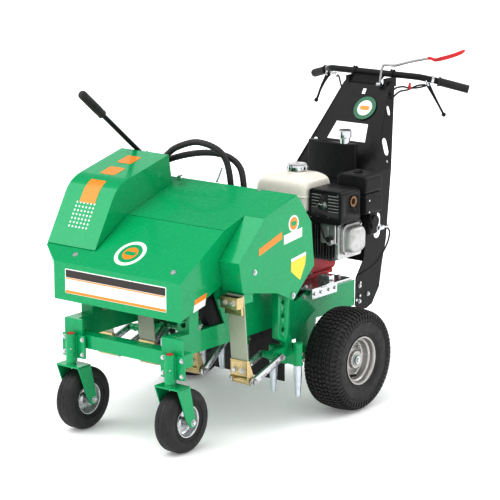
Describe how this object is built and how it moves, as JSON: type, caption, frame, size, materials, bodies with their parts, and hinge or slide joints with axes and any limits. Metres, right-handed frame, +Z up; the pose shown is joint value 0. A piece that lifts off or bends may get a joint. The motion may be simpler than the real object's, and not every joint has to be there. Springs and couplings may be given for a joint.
{
  "type": "core aerator",
  "caption": "Walk-behind hydraulic lawn core aerator: crank-driven tine arms under a sheet-metal hood, swivelling casters, small engine and rear handlebar.",
  "frame": {"origin": "on the ground, under the middle of the bounding box", "axes": "+Z up, front of the machine at -Y, its left side at +X"},
  "size_m": [0.906, 1.7125, 1.2806],
  "materials": {
    "green_paint": "glossy green enamel",
    "black_paint": "satin black powder coat",
    "black_plastic": "matt black moulding",
    "grip_rubber": "black rubber",
    "tyre_rubber": "black tyre rubber",
    "zinc_plate": "bright zinc plate",
    "spring_paint": "pale grey-green spring steel",
    "cream_paint": "cream enamel",
    "red_paint": "deep red engine enamel",
    "alloy_cast": "die-cast aluminium",
    "chrome_plate": "bright chrome",
    "rim_paint": "silver-grey wheel steel",
    "bare_steel": "machined steel",
    "hose_rubber": "ribbed black hose cover"
  },
  "bodies": {
    "chassis": {"chassis_frame": "green_paint", "caster_mount_left": "green_paint", "caster_mount_right": "green_paint", "front_hood": "green_paint", "top_cover": "green_paint", "left_drive_cover": "green_paint", "right_side_cover": "green_paint", "control_housing": "green_paint", "spring_hanger_1": "spring_paint", "spring_hanger_2": "spring_paint", "spring_hanger_3": "spring_paint", "spring_hanger_4": "spring_paint", "rear_flap": "grip_rubber", "engine_slide_base": "zinc_plate", "engine_crankcase": "red_paint", "engine_cylinder": "alloy_cast", "valve_cover": "alloy_cast", "fuel_tank": "cream_paint", "muffler_guard": "black_paint", "handle_upright": "black_paint", "oil_tank": "black_paint", "handlebar": "black_paint", "recoil_housing": "black_paint", "hydraulic_pump": "black_paint", "air_cleaner": "black_plastic", "hose_upper": "hose_rubber", "hose_lower": "hose_rubber"},
    "rear_wheel_left": {"rear_tyre_left": "tyre_rubber", "rear_rim_left": "rim_paint"},
    "caster_swivel_left": {"caster_fork_left": "green_paint"},
    "caster_wheel_left": {"caster_tyre_left": "tyre_rubber", "caster_rim_left": "rim_paint"},
    "rear_wheel_right": {"rear_tyre_right": "tyre_rubber", "rear_rim_right": "rim_paint"},
    "caster_swivel_right": {"caster_fork_right": "green_paint"},
    "caster_wheel_right": {"caster_tyre_right": "tyre_rubber", "caster_rim_right": "rim_paint"},
    "crank": {"crankshaft": "bare_steel"},
    "tine_unit_1": {"tine_arm_1": "green_paint", "tine_1": "zinc_plate", "tine_2": "zinc_plate"},
    "links_1": {"link_pair_1": "zinc_plate"},
    "tine_unit_2": {"tine_arm_2": "green_paint", "tine_3": "zinc_plate", "tine_4": "zinc_plate"},
    "links_2": {"link_pair_2": "zinc_plate"},
    "tine_unit_3": {"tine_arm_3": "green_paint", "tine_5": "zinc_plate", "tine_6": "zinc_plate"},
    "links_3": {"link_pair_3": "zinc_plate"},
    "tine_unit_4": {"tine_arm_4": "green_paint", "tine_7": "zinc_plate", "tine_8": "zinc_plate"},
    "links_4": {"link_pair_4": "zinc_plate"},
    "brake_lever_left": {"brake_lever_left": "black_plastic"},
    "brake_lever_right": {"brake_lever_right": "black_plastic"},
    "engagement_lever": {"engagement_lever": "zinc_plate"},
    "depth_lever": {"depth_lever": "black_paint"},
    "fuel_cap": {"fuel_cap": "chrome_plate"},
    "oil_cap": {"oil_cap": "chrome_plate"}
  },
  "joints": [
    {"name": "rear_wheel_left_roll", "type": "hinge", "parent": "chassis", "child": "rear_wheel_left", "pos_m": [0.377, 0.0417, 0.1905], "axis": [1, 0, 0], "continuous": true},
    {"name": "caster_left_swivel", "type": "hinge", "parent": "chassis", "child": "caster_swivel_left", "pos_m": [0.229, -0.8013, 0.3], "axis": [0, 0, 1], "continuous": true},
    {"name": "caster_left_roll", "type": "hinge", "parent": "caster_swivel_left", "child": "caster_wheel_left", "pos_m": [0.229, -0.7423, 0.114], "axis": [1, 0, 0], "continuous": true},
    {"name": "rear_wheel_right_roll", "type": "hinge", "parent": "chassis", "child": "rear_wheel_right", "pos_m": [-0.377, 0.0417, 0.1905], "axis": [1, 0, 0], "continuous": true},
    {"name": "caster_right_swivel", "type": "hinge", "parent": "chassis", "child": "caster_swivel_right", "pos_m": [-0.229, -0.8013, 0.3], "axis": [0, 0, 1], "continuous": true},
    {"name": "caster_right_roll", "type": "hinge", "parent": "caster_swivel_right", "child": "caster_wheel_right", "pos_m": [-0.229, -0.7423, 0.114], "axis": [1, 0, 0], "continuous": true},
    {"name": "crank_turn", "type": "hinge", "parent": "chassis", "child": "crank", "pos_m": [0, -0.2583, 0.59], "axis": [1, 0, 0], "continuous": true},
    {"name": "tine_arm_1_pin", "type": "hinge", "parent": "crank", "child": "tine_unit_1", "pos_m": [0.283, -0.24025, 0.56604], "axis": [1, 0, 0], "continuous": true},
    {"name": "tine_arm_2_pin", "type": "hinge", "parent": "crank", "child": "tine_unit_2", "pos_m": [0.057, -0.27635, 0.61396], "axis": [1, 0, 0], "continuous": true},
    {"name": "tine_arm_3_pin", "type": "hinge", "parent": "crank", "child": "tine_unit_3", "pos_m": [-0.144, -0.27635, 0.61396], "axis": [1, 0, 0], "continuous": true},
    {"name": "tine_arm_4_pin", "type": "hinge", "parent": "crank", "child": "tine_unit_4", "pos_m": [-0.347, -0.24025, 0.56604], "axis": [1, 0, 0], "continuous": true},
    {"name": "links_1_swing", "type": "hinge", "parent": "chassis", "child": "links_1", "pos_m": [0.283, -0.4623, 0.205], "axis": [1, 0, 0], "range_deg": [-15, 15]},
    {"name": "links_2_swing", "type": "hinge", "parent": "chassis", "child": "links_2", "pos_m": [0.057, -0.4623, 0.205], "axis": [1, 0, 0], "range_deg": [-15, 15]},
    {"name": "links_3_swing", "type": "hinge", "parent": "chassis", "child": "links_3", "pos_m": [-0.144, -0.4623, 0.205], "axis": [1, 0, 0], "range_deg": [-15, 15]},
    {"name": "links_4_swing", "type": "hinge", "parent": "chassis", "child": "links_4", "pos_m": [-0.347, -0.4623, 0.205], "axis": [1, 0, 0], "range_deg": [-15, 15]},
    {"name": "brake_lever_left_squeeze", "type": "hinge", "parent": "chassis", "child": "brake_lever_left", "pos_m": [0.242, 0.7547, 1.11], "axis": [0.5232, -0.8293, 0.1961], "range_deg": [0, 25], "stiffness_Nm_per_rad": 0.6, "springref_deg": -17.19},
    {"name": "brake_lever_right_squeeze", "type": "hinge", "parent": "chassis", "child": "brake_lever_right", "pos_m": [-0.242, 0.7547, 1.11], "axis": [0.5232, 0.8293, -0.1961], "range_deg": [0, 25], "stiffness_Nm_per_rad": 0.6, "springref_deg": -17.19},
    {"name": "engagement_lever_swing", "type": "hinge", "parent": "chassis", "child": "engagement_lever", "pos_m": [0.07, 0.6667, 1.108], "axis": [1, 0, 0], "range_deg": [-25, 25]},
    {"name": "depth_lever_swing", "type": "hinge", "parent": "chassis", "child": "depth_lever", "pos_m": [-0.395, -0.2083, 0.902], "axis": [1, 0, 0], "range_deg": [-60, 0]},
    {"name": "fuel_cap_turn", "type": "hinge", "parent": "chassis", "child": "fuel_cap", "pos_m": [0.078, 0.1237, 0.862], "axis": [0, 0, 1], "range_deg": [0, 90]},
    {"name": "oil_cap_turn", "type": "hinge", "parent": "chassis", "child": "oil_cap", "pos_m": [0.062, 0.4517, 0.93], "axis": [0, 0, 1], "range_deg": [0, 90]}
  ],
  "couplings": [
    {"joint": "tine_arm_1_pin", "follows": "crank_turn", "ratio": -1},
    {"joint": "tine_arm_2_pin", "follows": "crank_turn", "ratio": -1},
    {"joint": "tine_arm_3_pin", "follows": "crank_turn", "ratio": -1},
    {"joint": "tine_arm_4_pin", "follows": "crank_turn", "ratio": -1}
  ]
}
